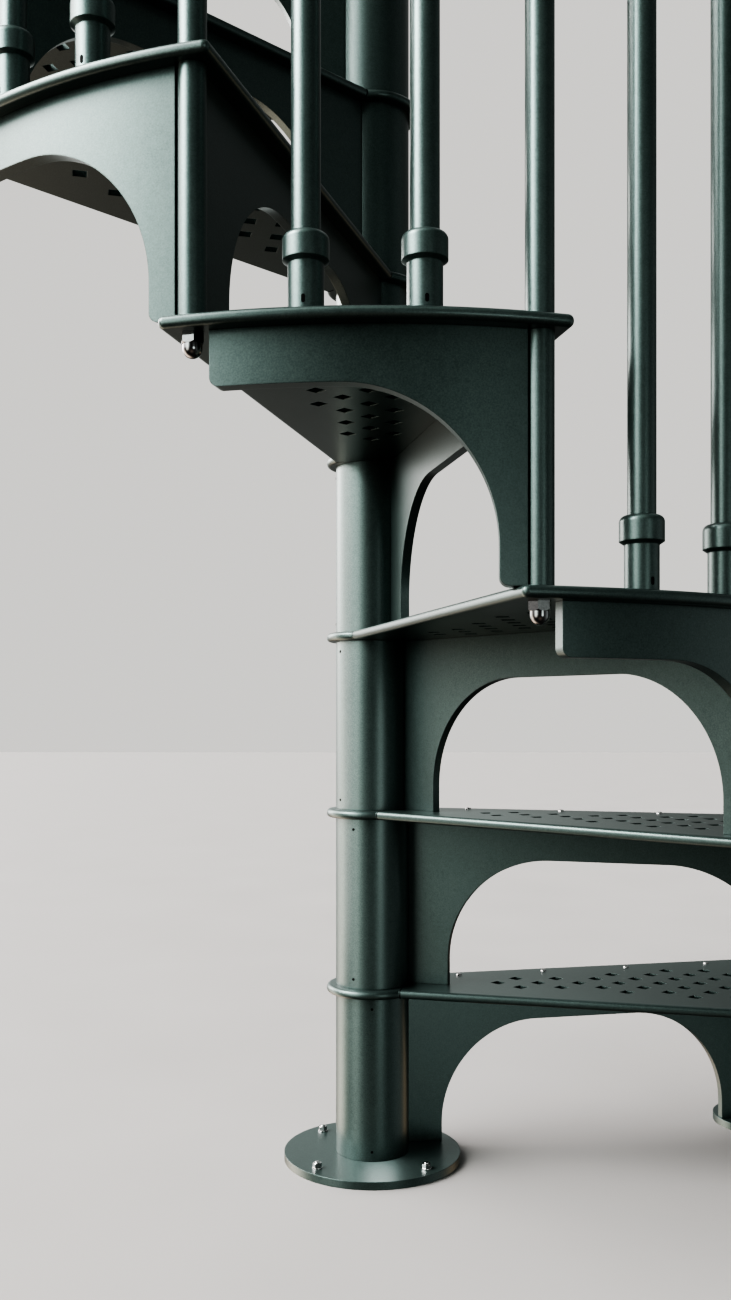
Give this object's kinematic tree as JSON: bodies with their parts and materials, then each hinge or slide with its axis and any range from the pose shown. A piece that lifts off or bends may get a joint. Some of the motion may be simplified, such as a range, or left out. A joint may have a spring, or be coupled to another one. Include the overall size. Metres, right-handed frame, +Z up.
{
  "type": "spiral staircase",
  "caption": "Steel spiral stair with perforated wedge treads, arched risers, curved outer skirts, round balusters and a landing.",
  "frame": {"origin": "centre of the base plate's underside, on the pole's axis at floor level", "axes": "+Z up along the centre pole; +X along the middle line of the first tread; the stair climbs clockwise seen from above"},
  "size_m": [1.2242, 1.1998, 3.456],
  "materials": {
    "grey_green_paint": "satin",
    "bright_steel": "polished"
  },
  "bodies": {
    "root": {"baluster_feet": "grey_green_paint", "base_plate": "grey_green_paint", "centre_pole": "grey_green_paint", "corner_balusters": "grey_green_paint", "corner_spacers": "grey_green_paint", "foot_disc": "grey_green_paint", "handrail": "grey_green_paint", "landing_flange": "grey_green_paint", "landing_plate": "grey_green_paint", "landing_rail": "grey_green_paint", "landing_skirt": "grey_green_paint", "mid_balusters": "grey_green_paint", "pole_cap": "grey_green_paint", "pole_sleeves": "grey_green_paint", "riser_01": "grey_green_paint", "riser_02": "grey_green_paint", "riser_03": "grey_green_paint", "riser_04": "grey_green_paint", "riser_05": "grey_green_paint", "riser_06": "grey_green_paint", "riser_07": "grey_green_paint", "riser_08": "grey_green_paint", "riser_09": "grey_green_paint", "riser_10": "grey_green_paint", "riser_11": "grey_green_paint", "skirt_01": "grey_green_paint", "skirt_02": "grey_green_paint", "skirt_03": "grey_green_paint", "skirt_04": "grey_green_paint", "skirt_05": "grey_green_paint", "skirt_06": "grey_green_paint", "skirt_07": "grey_green_paint", "skirt_08": "grey_green_paint", "skirt_09": "grey_green_paint", "skirt_10": "grey_green_paint", "tread_01": "grey_green_paint", "tread_02": "grey_green_paint", "tread_03": "grey_green_paint", "tread_04": "grey_green_paint", "tread_05": "grey_green_paint", "tread_06": "grey_green_paint", "tread_07": "grey_green_paint", "tread_08": "grey_green_paint", "tread_09": "grey_green_paint", "tread_10": "grey_green_paint"}
  },
  "joints": []
}
